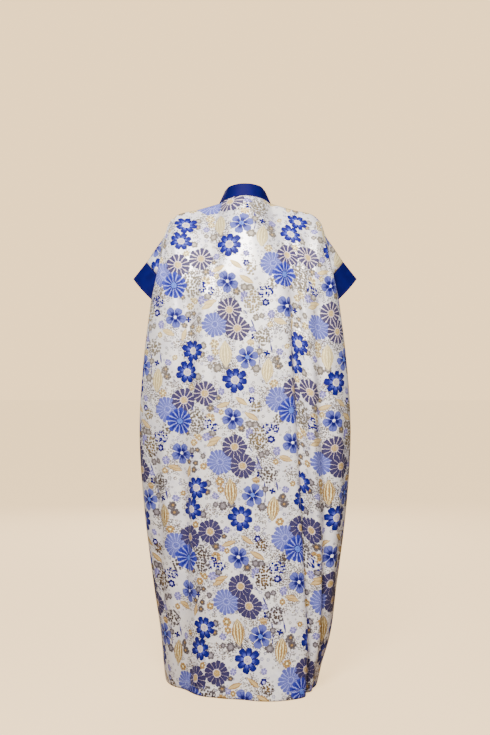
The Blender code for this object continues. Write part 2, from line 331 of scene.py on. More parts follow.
def yoke_bulge(panel, rise, place):
    """How far the cloth stands off a straight line from the underarm's height to the shoulder."""
    hand = np.sign(place)
    reach = np.abs(place)
    ease = reach * reach * (3 - 2 * reach)
    facing = FACING[panel]
    edge = SLEEVE_END[3] * SLEEVE_HALF_OPENING * facing
    flute = np.exp(-(((reach - FLUTE_AT) / TUCK_HALF_WIDTH) ** 2))
    tuck = TUCK_DEPTH[panel] * np.exp(-(((reach - TUCK_AT) / TUCK_HALF_WIDTH) ** 2))
    tuck = tuck * np.clip((rise - TUCK_STARTS) / TUCK_STARTS, 0, 1)
    tuck = tuck * np.clip((1 - reach) / TUCK_HALF_WIDTH, 0, 1)
    x = hand * (ease * edge[0] - TUCK_DRAWN_IN * tuck - FLUTE_DRAWN_IN * flute)
    y = (1 - ease) * YOKE_BULGE[panel] * facing + ease * edge[1]
    y = y + facing * (FLUTE_BULGE[panel] * flute - tuck)
    return 4 * rise * (1 - rise) * np.column_stack([x, y, ease * edge[2]])


def panel_form(panel):
    """The panel's cloth by row, from the hem up, and by column, from the right seam to the left."""
    place = np.linspace(-1, 1, PANEL_STEPS[panel] + 1)
    shares = (place + 1) / 2
    rows = []
    for height in np.linspace(0, UNDERARM_HEIGHT, TUBE_ROWS + 1):
        rows.append(spread(half_ring(panel, height), shares))
    low = rows[-1]
    high = top_row(panel, place)
    for rise in np.linspace(0, 1, YOKE_ROWS + 1)[1:]:
        rows.append(low * (1 - rise) + high * rise + yoke_bulge(panel, rise, place))
    grid = np.array(rows)
    for _ in range(UNDERARM_EASE):
        near = slice(TUBE_ROWS - UNDERARM_EASE, TUBE_ROWS + UNDERARM_EASE + 1)
        eased = (grid[:-2] + grid[2:]) / 2
        middle = grid[1:-1].copy()
        middle[near, 1:-1] = (middle[near, 1:-1] + eased[near, 1:-1]) / 2
        grid[1:-1] = middle
    grid[..., 2] -= NECK_HEIGHT
    return grid


def outward_normals(grid, panel):
    down_up = np.gradient(grid, axis=0)
    right_left = np.gradient(grid, axis=1)
    normal = np.cross(right_left, down_up)
    normal /= np.maximum(np.linalg.norm(normal, axis=2), SHORTEST_NORMAL)[..., None]
    facing = FACING[panel]
    middle = grid.shape[1] // 2
    if normal[grid.shape[0] // 3, middle, 1] * facing < 0:
        normal = -normal
    return normal


def cloth_places(grid):
    """Each point's place in the flat cloth: metres from the middle, and up from the underarm line."""
    across = np.linalg.norm(np.diff(grid, axis=1), axis=2)
    across = np.concatenate([np.zeros((len(grid), 1)), np.cumsum(across, axis=1)], axis=1)
    across -= across[:, [grid.shape[1] // 2]]
    up = np.linalg.norm(np.diff(grid, axis=0), axis=2)
    up = np.concatenate([np.zeros((1, grid.shape[1])), np.cumsum(up, axis=0)])
    up -= up[[TUBE_ROWS]]
    return across, up


# Creases and soft ridges. across is metres of cloth from the middle and height is above the
# hem, at the crease's low end and its high end. depth is pressed in, or raised where negative.
CREASE_COLUMNS = ("panel", "low_across", "low_height", "high_across", "high_height", "width", "depth")
CREASES = (
    ("back", 0.228, 0.26, 0.214, 0.90, 0.021, 0.0135),
    ("back", 0.268, 0.36, 0.260, 0.84, 0.018, -0.0070),
    ("back", 0.186, 0.30, 0.176, 0.92, 0.022, -0.0060),
    ("back", 0.186, 0.84, 0.192, 1.24, 0.018, 0.0100),
    ("back", 0.150, 0.86, 0.146, 1.26, 0.020, -0.0045),
    ("back", 0.118, 0.86, 0.094, 1.34, 0.012, 0.0040),
    ("back", 0.090, 0.40, 0.070, 1.26, 0.026, -0.0044),
    ("back", 0.060, 0.08, 0.044, 0.58, 0.022, 0.0048),
    ("back", 0.010, 0.20, 0.006, 0.74, 0.026, -0.0045),
    ("back", -0.048, 0.12, -0.040, 1.02, 0.024, 0.0055),
    ("back", -0.088, 0.34, -0.076, 1.20, 0.020, -0.0046),
    ("back", -0.238, 0.10, -0.206, 0.98, 0.012, -0.0090),
    ("back", -0.272, 0.14, -0.246, 0.96, 0.012, 0.0080),
    ("back", -0.312, 0.22, -0.292, 0.90, 0.018, -0.0050),
    ("back", 0.312, 0.18, 0.300, 0.70, 0.018, 0.0070),
    ("back", 0.240, 0.030, 0.150, 0.170, 0.010, 0.0062),
    ("back", 0.212, 0.012, 0.120, 0.120, 0.009, -0.0054),
    ("back", 0.270, 0.050, 0.186, 0.230, 0.011, -0.0046),
    ("back", 0.165, 0.008, 0.085, 0.075, 0.008, 0.0036),
    ("back", -0.120, 0.015, -0.066, 0.100, 0.010, 0.0034),
    ("back", 0.020, 0.010, 0.034, 0.085, 0.009, 0.0030),
    ("back", 0.212, 1.18, 0.238, 1.42, 0.009, -0.0042),
    ("back", 0.246, 1.16, 0.276, 1.39, 0.010, 0.0052),
    ("back", 0.330, 1.17, 0.352, 1.30, 0.012, 0.0045),
    ("back", -0.214, 1.12, -0.240, 1.40, 0.011, -0.0060),
    ("back", -0.252, 1.14, -0.272, 1.37, 0.010, 0.0050),
    ("back", -0.336, 1.18, -0.352, 1.32, 0.013, 0.0048),
    ("back", -0.172, 1.06, -0.154, 1.36, 0.0095, 0.0095),
    ("back", -0.132, 1.04, -0.122, 1.35, 0.016, -0.0040),
    ("front", 0.150, 0.30, 0.130, 1.00, 0.020, 0.0085),
    ("front", 0.105, 0.25, 0.090, 0.90, 0.018, -0.0060),
    ("front", 0.010, 0.20, 0.005, 1.00, 0.022, -0.0070),
    ("front", -0.050, 0.14, -0.040, 0.88, 0.020, 0.0060),
    ("front", -0.110, 0.26, -0.090, 0.96, 0.020, -0.0065),
    ("front", -0.240, 0.30, -0.215, 0.90, 0.018, 0.0085),
    ("front", 0.265, 0.20, 0.240, 0.84, 0.020, 0.0080),
    ("front", 0.040, 0.95, 0.110, 1.30, 0.014, 0.0046),
    ("front", -0.045, 0.98, -0.115, 1.31, 0.014, 0.0050),
    ("front", 0.020, 1.02, 0.060, 1.26, 0.012, -0.0034),
    ("front", -0.190, 0.020, -0.110, 0.120, 0.011, 0.0050),
    ("front", 0.150, 0.015, 0.080, 0.130, 0.010, 0.0046),
)
CREASE_SWAY = 0.5
CREASE_SWAY_TURNS = 7.0
CREASE_SWAY_START = 40.0
CREASE_OVERRUN = 0.12
CREASE_FADE = 0.35
STEADY_STEPS = 6


def creased(grid, panel, across):
    """The cloth with its creases pressed in along its own outward direction."""
    normal = outward_normals(grid, panel)
    height = grid[..., 2] + NECK_HEIGHT
    push = np.zeros(height.shape)
    for crease in CREASES:
        values = dict(zip(CREASE_COLUMNS, crease))
        if values["panel"] != panel:
            continue
        start = np.array((values["low_across"], values["low_height"]))
        run = np.array((values["high_across"], values["high_height"])) - start
        length = np.linalg.norm(run)
        run /= length
        along = ((across - start[0]) * run[0] + (height - start[1]) * run[1]) / length
        aside = (across - start[0]) * run[1] - (height - start[1]) * run[0]
        turn = CREASE_SWAY_TURNS * along + CREASE_SWAY_START * start[0]
        bend = values["width"] * CREASE_SWAY * np.sin(turn)
        inward = CREASE_OVERRUN + np.minimum(along, 1 - along)
        fade = np.clip(inward / CREASE_FADE, 0, 1)
        fade = fade * fade * (3 - 2 * fade)
        push += values["depth"] * fade * np.exp(-(((aside - bend) / values["width"]) ** 2))
    rows, columns = np.arange(grid.shape[0]), np.arange(grid.shape[1])
    steady = np.clip(np.minimum(columns, columns[::-1]) / STEADY_STEPS, 0, 1)[None, :]
    top = np.clip(rows[::-1] / STEADY_STEPS, 0, 1)[:, None]
    return grid - normal * (push * steady * top)[..., None]


def turned_edges(grid, panel):
    """Sets the seams back by half the cloth, and turns their allowance inside the robe."""
    facing = FACING[panel]
    aside = CLOTH / 2 + SEAM_GAP / 2
    made = np.concatenate([grid[:, :1], grid, grid[:, -1:]], axis=1)
    for edge, first, hand in ((0, 1, -1.0), (-1, -2, 1.0)):
        sleeve = SLEEVE_END[3] * (hand, 1, 1) * facing
        into = np.tile((-hand, 0.0, 0.0), (len(grid), 1))
        rise = np.clip((np.arange(len(grid)) - TUBE_ROWS) / YOKE_ROWS, 0, 1)
        room = 4 * rise * (1 - rise) * SLEEVE_HALF_OPENING * SLEEVE_ALLOWANCE_SHARE
        allowance = np.full(len(grid), SEAM_ALLOWANCE)
        above = rise > 0
        into[above] = -sleeve
        allowance[above] = np.minimum(SEAM_ALLOWANCE, room[above])
        apart = np.tile((0.0, facing, 0.0), (len(grid), 1)) * aside
        apart[above] = -SLEEVE_END[2] * (hand, 1, 1) * aside
        made[:, first] = made[:, first] + apart
        made[:, edge] = made[:, first] + into * allowance[:, None]
    place = np.linspace(-1, 1, grid.shape[1])
    place = np.concatenate([[-1], place, [1]])
    shoulder = np.abs(place) >= NECK_SHARE[panel]
    normal = outward_normals(made, panel)[-2]
    at_shoulder, at_neck = (0.0, facing * aside, -aside / 2), (0.0, 0.0, -NECK_LOWERED)
    made[-1] += np.where(shoulder[:, None], at_shoulder, at_neck)
    turned = made[-1] - normal * NECK_ALLOWANCE_SHARE * SEAM_ALLOWANCE
    turned[shoulder] = made[-1][shoulder] - (0.0, 0.0, SEAM_ALLOWANCE)
    inside = outward_normals(made, panel)[: HEM_ROWS + 1] * HEM_TURN
    hem = (made[: HEM_ROWS + 1] - inside)[::-1]
    return np.concatenate([hem, made, turned[None]], axis=0)


def grid_mesh(name, grid):
    """A mesh with a vertex for each point of the grid and a face for each square."""
    rows, columns = grid.shape[:2]
    number = np.arange(rows * columns).reshape(rows, columns)
    faces = np.stack([number[:-1, :-1], number[:-1, 1:], number[1:, 1:], number[1:, :-1]], axis=-1)
    mesh = bpy.data.meshes.new(name)
    mesh.from_pydata(grid.reshape(-1, 3).tolist(), [], faces.reshape(-1, 4).tolist())
    mesh.shade_smooth()
    return mesh


# The woven pattern. It repeats every REPEAT metres across and down. Each large motif has its kind,
# how far right and up of the royal flower its middle lies, its half size and its turn in degrees,
# and later ones lie over earlier ones. Small motifs have their place and half size.
REPEAT_ACROSS = 0.340
REPEAT_RISE = 0.0285
REPEAT_DOWN = 0.408
REPEAT_DRIFT = 0.0075
LARGE_MOTIFS = (
    ("leaf", -0.037, -0.076, 0.0227, 20),
    ("leaf", 0.018, -0.065, 0.0227, -35),
    ("leaf", 0.047, -0.110, 0.0250, -30),
    ("leaf", -0.077, 0.220, 0.0227, 30),
    ("leaf", -0.156, 0.134, 0.0205, 72),
    ("leaf", -0.203, 0.140, 0.0216, -20),
    ("leaf", 0.135, 0.174, 0.0176, -18),
    ("leaf", -0.062, -0.177, 0.0213, 15),
    ("leaf", 0.048, 0.112, 0.0142, 5),
    ("gold_bud", -0.027, 0.076, 0.0398, 92),
    ("gold_bud", 0.097, 0.026, 0.0375, 84),
    ("periwinkle_daisy", -0.057, 0.164, 0.0392, 4),
    ("taupe_daisy", -0.013, 0.208, 0.0375, 0),
    ("taupe_daisy", 0.010, 0.152, 0.0381, 12),
    ("periwinkle_daisy", -0.211, -0.090, 0.0398, 0),
    ("plum_daisy", -0.161, -0.062, 0.0375, 8),
    ("ray_daisy", -0.175, -0.125, 0.0403, 0),
    ("taupe_daisy", -0.091, -0.042, 0.0375, 0),
    ("anemone", 0.038, 0.066, 0.0347, 12),
    ("royal", -0.149, 0.022, 0.0352, 20),
    ("royal", -0.129, 0.086, 0.0347, 70),
    ("royal", 0.000, -0.002, 0.0392, 82),
    ("five_petal", -0.009, -0.116, 0.0341, 48),
    ("five_petal", -0.181, 0.187, 0.0335, 60),
)
SMALL_MOTIFS = {
    "lavender_floret": (
        (-0.096, 0.232, 0.0114),
        (-0.081, 0.242, 0.0097),
        (-0.228, 0.163, 0.0097),
        (-0.073, 0.063, 0.0097),
        (0.129, 0.080, 0.0114),
        (0.112, 0.196, 0.0102),
        (-0.042, -0.036, 0.0097),
        (0.049, -0.032, 0.0091),
        (-0.058, -0.090, 0.0097),
        (0.041, -0.156, 0.0114),
        (-0.088, -0.171, 0.0119),
        (0.032, 0.242, 0.0114),
        (0.054, 0.150, 0.0085),
        (-0.206, 0.051, 0.0097),
    ),
    "grey_floret": (
        (-0.142, 0.195, 0.0102),
        (-0.093, 0.100, 0.0102),
        (-0.111, 0.008, 0.0114),
        (-0.209, 0.009, 0.0114),
        (-0.219, 0.025, 0.0102),
        (-0.051, 0.034, 0.0131),
        (-0.073, 0.038, 0.0080),
        (-0.026, 0.039, 0.0108),
        (0.064, 0.032, 0.0131),
        (0.075, 0.083, 0.0097),
        (0.066, 0.185, 0.0102),
        (0.084, 0.190, 0.0085),
        (0.041, -0.133, 0.0114),
        (0.058, -0.134, 0.0108),
        (-0.069, -0.159, 0.0108),
        (-0.107, 0.180, 0.0085),
    ),
    "tan_floret": (
        (-0.135, 0.220, 0.0102),
        (-0.106, 0.150, 0.0102),
        (-0.135, -0.023, 0.0097),
        (-0.059, 0.106, 0.0125),
        (-0.057, 0.082, 0.0097),
        (0.115, -0.013, 0.0114),
        (-0.077, -0.116, 0.0148),
        (-0.043, -0.097, 0.0080),
        (-0.116, -0.167, 0.0102),
        (0.049, 0.110, 0.0097),
        (-0.118, 0.234, 0.0085),
        (-0.184, 0.066, 0.0080),
        (0.108, 0.163, 0.0085),
    ),
    "brown_floret": (
        (-0.124, 0.198, 0.0080),
        (-0.130, 0.159, 0.0085),
        (-0.136, 0.139, 0.0097),
        (-0.097, 0.074, 0.0097),
        (0.126, 0.059, 0.0102),
        (0.129, 0.037, 0.0102),
        (-0.050, -0.055, 0.0080),
        (-0.075, -0.085, 0.0114),
        (0.017, -0.145, 0.0114),
        (-0.150, -0.159, 0.0085),
        (0.186, 0.191, 0.0085),
    ),
    "royal_floret": ((0.049, -0.062, 0.0102), (0.096, 0.230, 0.0114)),
    "royal_bow": ((-0.142, 0.180, 0.0080), (0.059, 0.127, 0.0097), (0.096, 0.078, 0.0091)),
    "royal_sprig": (
        (-0.229, -0.172, 0.0170),
        (-0.091, -0.131, 0.0199),
        (-0.062, -0.142, 0.0125),
        (0.092, -0.147, 0.0170),
        (0.116, -0.150, 0.0114),
    ),
    "grey_sprig": (
        (-0.213, -0.148, 0.0170),
        (-0.121, -0.113, 0.0284),
        (-0.118, -0.141, 0.0227),
        (0.086, 0.126, 0.0256),
    ),
    "tan_sprig": ((0.058, 0.228, 0.0270), (0.061, -0.080, 0.0170), (0.066, -0.155, 0.0170)),
}
STEMS = (
    ((0.029, 0.208), (0.041, 0.194), (0.051, 0.180)),
    ((0.051, 0.180), (0.064, 0.174), (0.078, 0.164), (0.088, 0.150)),
    ((0.051, 0.180), (0.061, 0.154), (0.069, 0.129)),
    ((0.069, 0.129), (0.073, 0.106), (0.075, 0.080)),
    ((0.075, 0.080), (0.075, 0.060), (0.072, 0.043)),
    ((0.088, 0.150), (0.101, 0.129), (0.108, 0.106), (0.112, 0.077)),
    ((-0.131, -0.048), (-0.127, -0.067), (-0.138, -0.104)),
)
STEM_OVERLAP = 0.001
SMALL_TURN = 37
SMALL_GROWTH = 1.12

# Motifs are laid in layers. A square that no motif covers in a layer has the place OFF_MOTIF there,
# outside every motif. The ranges are enough repeats to cover a whole panel.
MOTIF_LAYERS = 7
MOTIF_MARGIN = 1.06
OFF_MOTIF = (3.0, 3.0, 0.0)
REPEATS_ASIDE = range(-3, 4)
REPEATS_BELOW = range(-4, 5)

# Where the pattern starts on each panel, and how the weave rides up and is tucked away across the
# back: across from the middle, how far it rises there, and the cloth hidden in the deep fold.
PATTERN_START = {"back": (0.0420, -0.2394), "front": (0.020, -0.150)}
GRAIN_COLUMNS = ("across", "rise", "hidden")
GRAIN = {
    "back": (
        (-0.45, -0.036, 0.007),
        (-0.32, -0.036, 0.007),
        (-0.22, -0.033, 0.007),
        (-0.15, 0.000, 0.000),
        (-0.05, 0.000, 0.000),
        (0.45, 0.000, 0.000),
    ),
    "front": ((-0.45, -0.008, 0.000), (0.00, 0.000, 0.000), (0.45, -0.008, 0.000)),
}

# Towards the shoulders the weave spreads sideways and lifts a little, as the yoke is drawn smooth.
YOKE_RISE = 0.31
YOKE_SPREAD = 0.26
YOKE_LIFT = 0.008


def motifs_in_one_repeat():
    """Every motif as its kind, place, half size and turn, in the order in which they lie."""
    rows = []
    for line in STEMS:
        for start, end in zip(line[:-1], line[1:]):
            middle = ((start[0] + end[0]) / 2, (start[1] + end[1]) / 2)
            half = math.dist(start, end) / 2 + STEM_OVERLAP
            turn = math.degrees(math.atan2(end[1] - start[1], end[0] - start[0]))
            rows.append(("stem", *middle, half, turn))
    for kind, places in SMALL_MOTIFS.items():
        for number, (right, rise, size) in enumerate(places):
            rows.append((kind, right, rise, size * SMALL_GROWTH, number * SMALL_TURN))
    return rows + list(LARGE_MOTIFS)


def woven_attributes(mesh, panel, across, up):
    """Stores the cloth's flat coordinates, and for each layer the motif on each square."""
    rightward = -FACING[panel]
    start = PATTERN_START[panel]
    grain = dict(zip(GRAIN_COLUMNS, zip(*GRAIN[panel])))
    hidden = curve_value(across, grain["across"], grain["hidden"])
    risen = curve_value(across, grain["across"], grain["rise"])
    yoke = np.clip(up / YOKE_RISE, 0, 1)
    drawn = across / (1 + YOKE_SPREAD * yoke**3)
    up = up - YOKE_LIFT * yoke
    flat = np.stack([(drawn - start[0]) * rightward + hidden, up - start[1] - risen], axis=-1)
    stored = mesh.attributes.new("cloth", "FLOAT_VECTOR", "POINT")
    coords = np.concatenate([flat, np.zeros(flat.shape[:2] + (1,))], axis=-1)
    stored.data.foreach_set("vector", coords.reshape(-1).astype(np.float32))
    corners = np.stack([flat[:-1, :-1], flat[:-1, 1:], flat[1:, 1:], flat[1:, :-1]], axis=2)
    corners = corners.reshape(-1, 4, 2)
    middles = corners.mean(axis=1)
    slack = np.linalg.norm(corners - middles[:, None], axis=2).max(axis=1)
    layers = np.full((MOTIF_LAYERS, len(corners), 4, 3), OFF_MOTIF)
    taken = np.zeros((MOTIF_LAYERS, len(corners)), bool)
    low, high = middles.min(axis=0), middles.max(axis=0)
    laid = []
    for kind, right, rise, size, turn in reversed(motifs_in_one_repeat()):
        cosine, sine = math.cos(math.radians(turn)), math.sin(math.radians(turn))
        for i in REPEATS_ASIDE:
            for j in REPEATS_BELOW:
                x = right + i * REPEAT_ACROSS + j * REPEAT_DRIFT
                y = rise + i * REPEAT_RISE - j * REPEAT_DOWN
                if not (low[0] - size < x < high[0] + size and low[1] - size < y < high[1] + size):
                    continue
                gap = np.hypot(middles[:, 0] - x, middles[:, 1] - y)
                here = np.nonzero(gap < size * MOTIF_MARGIN + slack)[0]
                if len(here) == 0:
                    continue
                over = [row[3] for row in laid if math.dist(row[:2], (x, y)) < row[2] + size]
                below = range(min(over, default=MOTIF_LAYERS))
                free = [layer for layer in below if not taken[layer, here].any()]
                if not free:
                    continue
                layer = free[-1]
                laid.append((x, y, size, layer))
                taken[layer, here] = True
                away = (corners[here] - (x, y)) / size
                layers[layer, here, :, 0] = away[..., 0] * cosine + away[..., 1] * sine
                layers[layer, here, :, 1] = away[..., 1] * cosine - away[..., 0] * sine
                layers[layer, here, :, 2] = MOTIF_KINDS.index(kind)
    for layer in range(MOTIF_LAYERS):
        stored = mesh.attributes.new(f"motif_{layer}", "FLOAT_VECTOR", "CORNER")
        stored.data.foreach_set("vector", layers[layer].reshape(-1).astype(np.float32))


class Thread:
    """One value in a tree of nodes. Sums on it add the nodes that work them out."""

    def __init__(self, tree, socket=None):
        self.tree = tree
        self.socket = socket

    def node(self, kind, settings=(), inputs=(), outlet=0):
        made = self.tree.nodes.new(kind)
        for name, value in dict(settings).items():
            setattr(made, name, value)
        fill_inputs(made, inputs)
        return Thread(self.tree, made.outputs[outlet])

    def outlet(self, name):
        return Thread(self.tree, self.socket.node.outputs[name])

    def attribute(self, name):
        return self.node("ShaderNodeAttribute", {"attribute_name": name}, outlet="Vector")

    def maths(self, operation, *values):
        return self.node("ShaderNodeMath", {"operation": operation}, enumerate(values))

    def __add__(self, other):
        return self.maths("ADD", self, other)

    def __radd__(self, other):
        return self.maths("ADD", other, self)

    def __sub__(self, other):
        return self.maths("SUBTRACT", self, other)

    def __rsub__(self, other):
        return self.maths("SUBTRACT", other, self)

    def __mul__(self, other):
        return self.maths("MULTIPLY", self, other)

    def __rmul__(self, other):
        return self.maths("MULTIPLY", other, self)

    def __truediv__(self, other):
        return self.maths("DIVIDE", self, other)

    def __pow__(self, other):
        return self.maths("POWER", self, other)

    def __abs__(self):
        return self.maths("ABSOLUTE", self)

    def __gt__(self, other):
        return self.maths("GREATER_THAN", self, other)

    def __lt__(self, other):
        return self.maths("LESS_THAN", self, other)

    def eased(self, low, high):
        """0 below low and 1 above high, with a soft step between."""
        settings = {"interpolation_type": "SMOOTHSTEP"}
        sockets = {"Value": self, "From Min": low, "From Max": high}
        return self.node("ShaderNodeMapRange", settings, sockets)

    def steps(self, stops):
        """The colour of the last stop, each a place and a colour, that this value has passed."""
        found = self.node("ShaderNodeValToRGB", {}, {0: self})
        ramp = found.socket.node.color_ramp
        ramp.interpolation = "CONSTANT"
        while len(ramp.elements) < len(stops):
            ramp.elements.new(1.0)
        for element, (at, colour) in zip(ramp.elements, stops):
            element.position = at
            element.color = colour
        return found

    def colours(self, first, second):
        """A colour that goes from the first to the second as this value goes from 0 to 1."""
        return self.node("ShaderNodeMix", {"data_type": "RGBA"}, {0: self, 6: first, 7: second}, 2)

    def vectors(self, first, second):
        return self.node("ShaderNodeMix", {"data_type": "VECTOR"}, {0: self, 4: first, 5: second}, 1)

    def between(self, first, second):
        return self.node("ShaderNodeMix", {}, {0: self, 2: first, 3: second}, 0)

    def axis(self, name):
        """One axis of this vector."""
        return self.node("ShaderNodeSeparateXYZ", {}, {0: self}, name)

    def red(self):
        """The red part of this colour, with outlets for Green and Blue."""
        return self.node("ShaderNodeSeparateColor", {}, {0: self}, "Red")

    def vector_maths(self, operation, other):
        return self.node("ShaderNodeVectorMath", {"operation": operation}, {0: self, 1: other})

    def noise(self, scale, detail=2.0, outlet=0, dimensions="2D"):
        """Soft unevenness at this place."""
        sockets = {"Vector": self, "Scale": scale, "Detail": detail}
        return self.node("ShaderNodeTexNoise", {"noise_dimensions": dimensions}, sockets, outlet)

    def dots(self, scale, randomness=1.0):
        """How far this place lies from the nearest of many scattered dots, as a share of a cell."""
        settings = {"voronoi_dimensions": "2D"}
        sockets = {"Vector": self, "Scale": scale, "Randomness": randomness}
        return self.node("ShaderNodeTexVoronoi", settings, sockets, "Distance")

    def twill(self, scale, distortion, detail=2.0):
        """The slanted lines of a twill weave at this place."""
        settings = {"wave_type": "BANDS", "bands_direction": "DIAGONAL"}
        sockets = {"Vector": self, "Scale": scale, "Distortion": distortion, "Detail": detail}
        return self.node("ShaderNodeTexWave", settings, sockets, "Fac")

    def bump(self, strength, distance):
        """The surface's normal with this value as its relief."""
        sockets = {"Height": self, "Strength": strength, "Distance": distance}
        return self.node("ShaderNodeBump", {}, sockets)


def fill_inputs(node, values):
    """Gives each input of a node its value, or links the thread that works it out."""
    for name, value in dict(values).items():
        if isinstance(value, Thread):
            value.tree.links.new(value.socket, node.inputs[name])
        else:
            node.inputs[name].default_value = value


def blank_material(name):
    """A new material, and the thread from which its nodes start."""
    made = bpy.data.materials.new(name)
    made.use_nodes = True
    return made, Thread(made.node_tree)


def finished_material(made, looks):
    """The material, once its shader has each of these looks, a plain value or a thread."""
    fill_inputs(made.node_tree.nodes["Principled BSDF"], looks)
    return made


# The colours of the woven threads.
THREADS = {
    "white": (0.900, 0.865, 0.860),
    "silver": (0.800, 0.770, 0.815),
    "periwinkle": (0.080, 0.089, 0.330),
    "pale periwinkle": (0.255, 0.275, 0.660),
    "blue tip": (0.084, 0.096, 0.340),
    "mid blue": (0.024, 0.030, 0.260),
    "sky": (0.080, 0.140, 0.560),
    "royal": (0.004, 0.004, 0.125),
    "deep royal": (0.003, 0.002, 0.082),
    "royal streak": (0.085, 0.105, 0.450),
    "heart": (0.470, 0.400, 0.500),
    "taupe": (0.034, 0.028, 0.086),
    "pale taupe": (0.640, 0.530, 0.560),
    "plum": (0.020, 0.018, 0.096),
    "gold": (0.400, 0.260, 0.080),
    "tan": (0.335, 0.195, 0.068),
    "straw": (0.560, 0.390, 0.170),
    "dark tan": (0.135, 0.082, 0.032),
    "cream": (0.910, 0.795, 0.455),
    "grey": (0.080, 0.068, 0.076),
    "pale grey": (0.250, 0.220, 0.245),
    "lavender": (0.135, 0.120, 0.320),
    "pale lavender": (0.410, 0.380, 0.680),
    "brown": (0.060, 0.043, 0.036),
    "stem blue": (0.045, 0.040, 0.180),
}

# One row for each kind of motif. petals is their number, notch how deep the gaps between them go and
# blunt how round their tips are; a leaf has no petals, and its notch is its half width. core is the
# middle's share and outline the width of the line round each petal. streaks is the number of streaks
# in a petal, fine how thin they are and reach how far out they run. A dotted motif is a spray of
# dots, and glint is how much metal thread it holds. That thread both shines as metal and is painted
# paler higher up the cloth, a painted glint.
KIND_COLUMNS = (
    ("petals", "notch", "blunt", "core", "outline", "streaks", "fine", "reach", "dotted", "glint")
    + ("inner", "tip", "line", "streak", "middle", "ring")
)
KINDS = (
    ("none", 0, 0, 0.5, 0, 0, 1, 0.9, 0, 0, 0)
    + ("silver", "silver", "silver", "silver", "silver", "silver"),
    ("periwinkle_daisy", 17, 0.17, 0.30, 0.20, 0.18, 1, 0.997, 0.72, 0, 0.0)
    + ("periwinkle", "periwinkle", "pale periwinkle")
    + ("pale periwinkle", "periwinkle", "pale periwinkle"),
    ("taupe_daisy", 13, 0.13, 0.34, 0.27, 0.22, 1, 0.985, 0.80, 0, 0.02)
    + ("taupe", "taupe", "pale taupe", "pale taupe", "gold", "pale taupe"),
    ("plum_daisy", 12, 0.14, 0.34, 0.27, 0.20, 1, 0.985, 0.75, 0, 0.015)
    + ("plum", "taupe", "pale taupe", "pale taupe", "gold", "pale taupe"),
    ("royal", 8, 0.42, 0.40, 0.25, 0.24, 3, 0.93, 0.74, 0, 0.0)
    + ("royal streak", "royal", "deep royal", "mid blue", "heart", "cream"),
    ("five_petal", 5, 0.56, 0.40, 0.13, 0.03, 3, 0.96, 0.80, 0, 0.0)
    + ("deep royal", "blue tip", "pale periwinkle", "royal", "white", "mid blue"),
    ("anemone", 6, 0.44, 0.38, 0.19, 0.03, 3, 0.95, 0.70, 0, 0.0)
    + ("deep royal", "blue tip", "white", "mid blue", "sky", "deep royal"),
    ("ray_daisy", 13, 0.22, 0.32, 0.22, 0.16, 1, 0.93, 0.80, 0, 0.0)
    + ("mid blue", "mid blue", "pale periwinkle", "royal", "sky", "deep royal"),
    ("leaf", 0, 0.34, 0.5, 0, 0.50, 0, 0.5, 0, 0, 0.34)
    + ("straw", "cream", "tan", "straw", "tan", "tan"),
    ("gold_bud", 0, 0.48, 0.5, 0, 0.16, 5, 0.52, 1.0, 0, 0.66)
    + ("cream", "cream", "tan", "tan", "cream", "cream"),
    ("royal_floret", 6, 0.36, 0.40, 0.36, 0.10, 1, 0.99, 0.5, 0, 0)
    + ("royal", "deep royal", "royal", "royal", "pale lavender", "mid blue"),
    ("royal_bow", 4, 0.80, 0.70, 0.0, 0.0, 1, 1.0, 0.5, 0, 0)
    + ("royal", "deep royal", "deep royal", "royal", "royal", "royal"),
    ("grey_floret", 6, 0.34, 0.45, 0.42, 0.16, 1, 0.99, 0.9, 0, 0.12)
    + ("pale grey", "grey", "grey", "grey", "pale grey", "grey"),
    ("lavender_floret", 6, 0.28, 0.40, 0.28, 0.22, 1, 0.95, 0.9, 0, 0)
    + ("lavender", "lavender", "pale lavender", "lavender", "pale lavender", "lavender"),
    ("tan_floret", 6, 0.28, 0.40, 0.30, 0.26, 1, 0.90, 0.9, 0, 0.22)
    + ("dark tan", "tan", "cream", "brown", "cream", "dark tan"),
    ("brown_floret", 5, 0.28, 0.40, 0.30, 0.24, 1, 0.90, 0.9, 0, 0.08)
    + ("brown", "grey", "pale grey", "brown", "tan", "brown"),
    ("stem", 0, 0.17, 0.5, 0, 0, 0, 0.5, 0, 0, 0)
    + ("stem blue", "stem blue", "royal", "royal", "royal", "royal"),
    ("royal_sprig", 5, 0.24, 0.5, 0.30, 0.0, 1, 1.0, 0.5, 1, 0)
    + ("royal", "royal", "royal", "royal", "pale lavender", "royal"),
    ("grey_sprig", 7, 0.24, 0.5, 0.0, 0.0, 1, 1.0, 0.5, 1, 0.15)
    + ("brown", "grey", "grey", "grey", "grey", "grey"),
    ("tan_sprig", 7, 0.24, 0.5, 0.0, 0.0, 1, 1.0, 0.5, 1, 0.25)
    + ("dark tan", "brown", "tan", "tan", "tan", "tan"),
)
MOTIF_KINDS = [row[0] for row in KINDS]
MOST_PETALS = 32.0
MOST_STREAKS = 8.0

